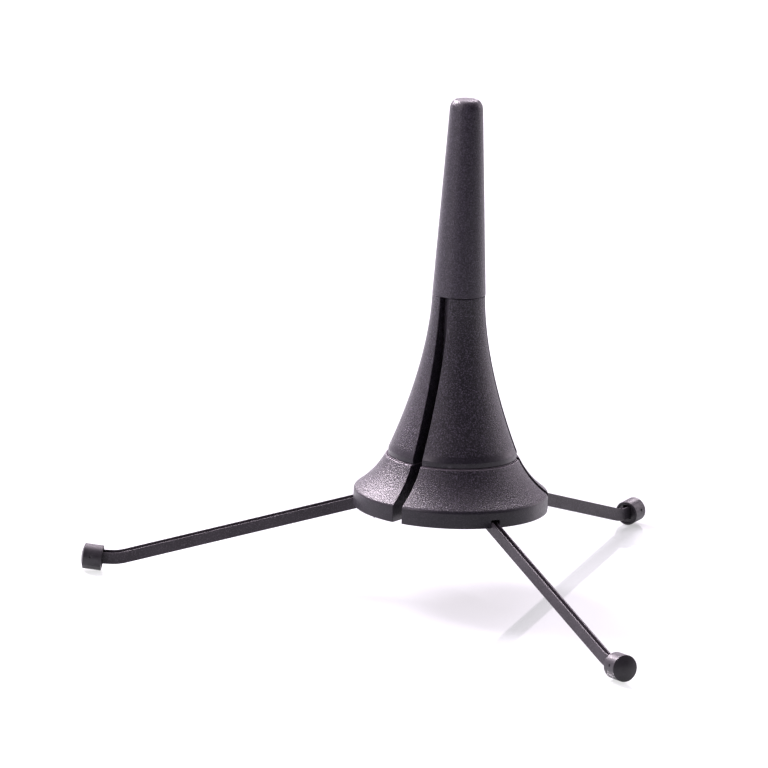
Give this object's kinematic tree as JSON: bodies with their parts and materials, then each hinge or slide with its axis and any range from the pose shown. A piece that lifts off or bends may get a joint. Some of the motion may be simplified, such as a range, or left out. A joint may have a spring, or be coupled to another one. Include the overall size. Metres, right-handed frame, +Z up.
{
  "type": "in-bell instrument stand",
  "caption": "Folding in-bell peg stand for a trumpet: flared body with leg slots, tapered peg, sprung hub and hinged channel legs with rubber caps.",
  "frame": {"origin": "on the peg's axis, at the plane of the rim's underside, where the hub's flat underside also lies", "axes": "+Z up along the peg, -Y along the front leg, +X to the right of the front leg as seen from it"},
  "size_m": [0.2996, 0.2606, 0.2296],
  "materials": {
    "body_plastic": "spark-textured satin black",
    "peg_plastic": "fine satin black",
    "hub_plastic": "satin black",
    "leg_paint": "satin dark grey paint on pressed steel",
    "cap_rubber": "satin black",
    "nylon": "natural",
    "steel": "zinc plated",
    "brass": "turned"
  },
  "bodies": {
    "stand_body": {"bell_body": "body_plastic", "peg": "peg_plastic", "return_spring": "steel"},
    "hub_body": {"leg_hub": "hub_plastic", "hub_insert": "brass", "centre_bolt": "steel", "bolt_washer": "steel", "thrust_washer": "nylon", "hinge_pin_front": "steel", "hinge_pin_left": "steel", "hinge_pin_right": "steel", "pin_clip_front": "steel", "pin_clip_left": "steel", "pin_clip_right": "steel"},
    "front_leg": {"leg_front": "leg_paint", "leg_bush_front": "nylon", "foot_cap_front": "cap_rubber"},
    "left_leg": {"leg_left": "leg_paint", "leg_bush_left": "nylon", "foot_cap_left": "cap_rubber"},
    "right_leg": {"leg_right": "leg_paint", "leg_bush_right": "nylon", "foot_cap_right": "cap_rubber"}
  },
  "joints": [
    {"name": "hub_pull", "type": "slide", "parent": "stand_body", "child": "hub_body", "axis": [0, 0, -1], "range_m": [0, 0.0055], "stiffness_N_per_m": 800, "springref_m": -0.01, "deforming": ["return_spring"]},
    {"name": "front_leg_hinge", "type": "hinge", "parent": "hub_body", "child": "front_leg", "pos_m": [0, -0.018, 0.00752], "axis": [1, 0, 0], "range_deg": [0, 73]},
    {"name": "left_leg_hinge", "type": "hinge", "parent": "hub_body", "child": "left_leg", "pos_m": [-0.01559, 0.009, 0.00752], "axis": [-0.5, -0.866, 0], "range_deg": [0, 73]},
    {"name": "right_leg_hinge", "type": "hinge", "parent": "hub_body", "child": "right_leg", "pos_m": [0.01559, 0.009, 0.00752], "axis": [-0.5, 0.866, 0], "range_deg": [0, 73]}
  ]
}
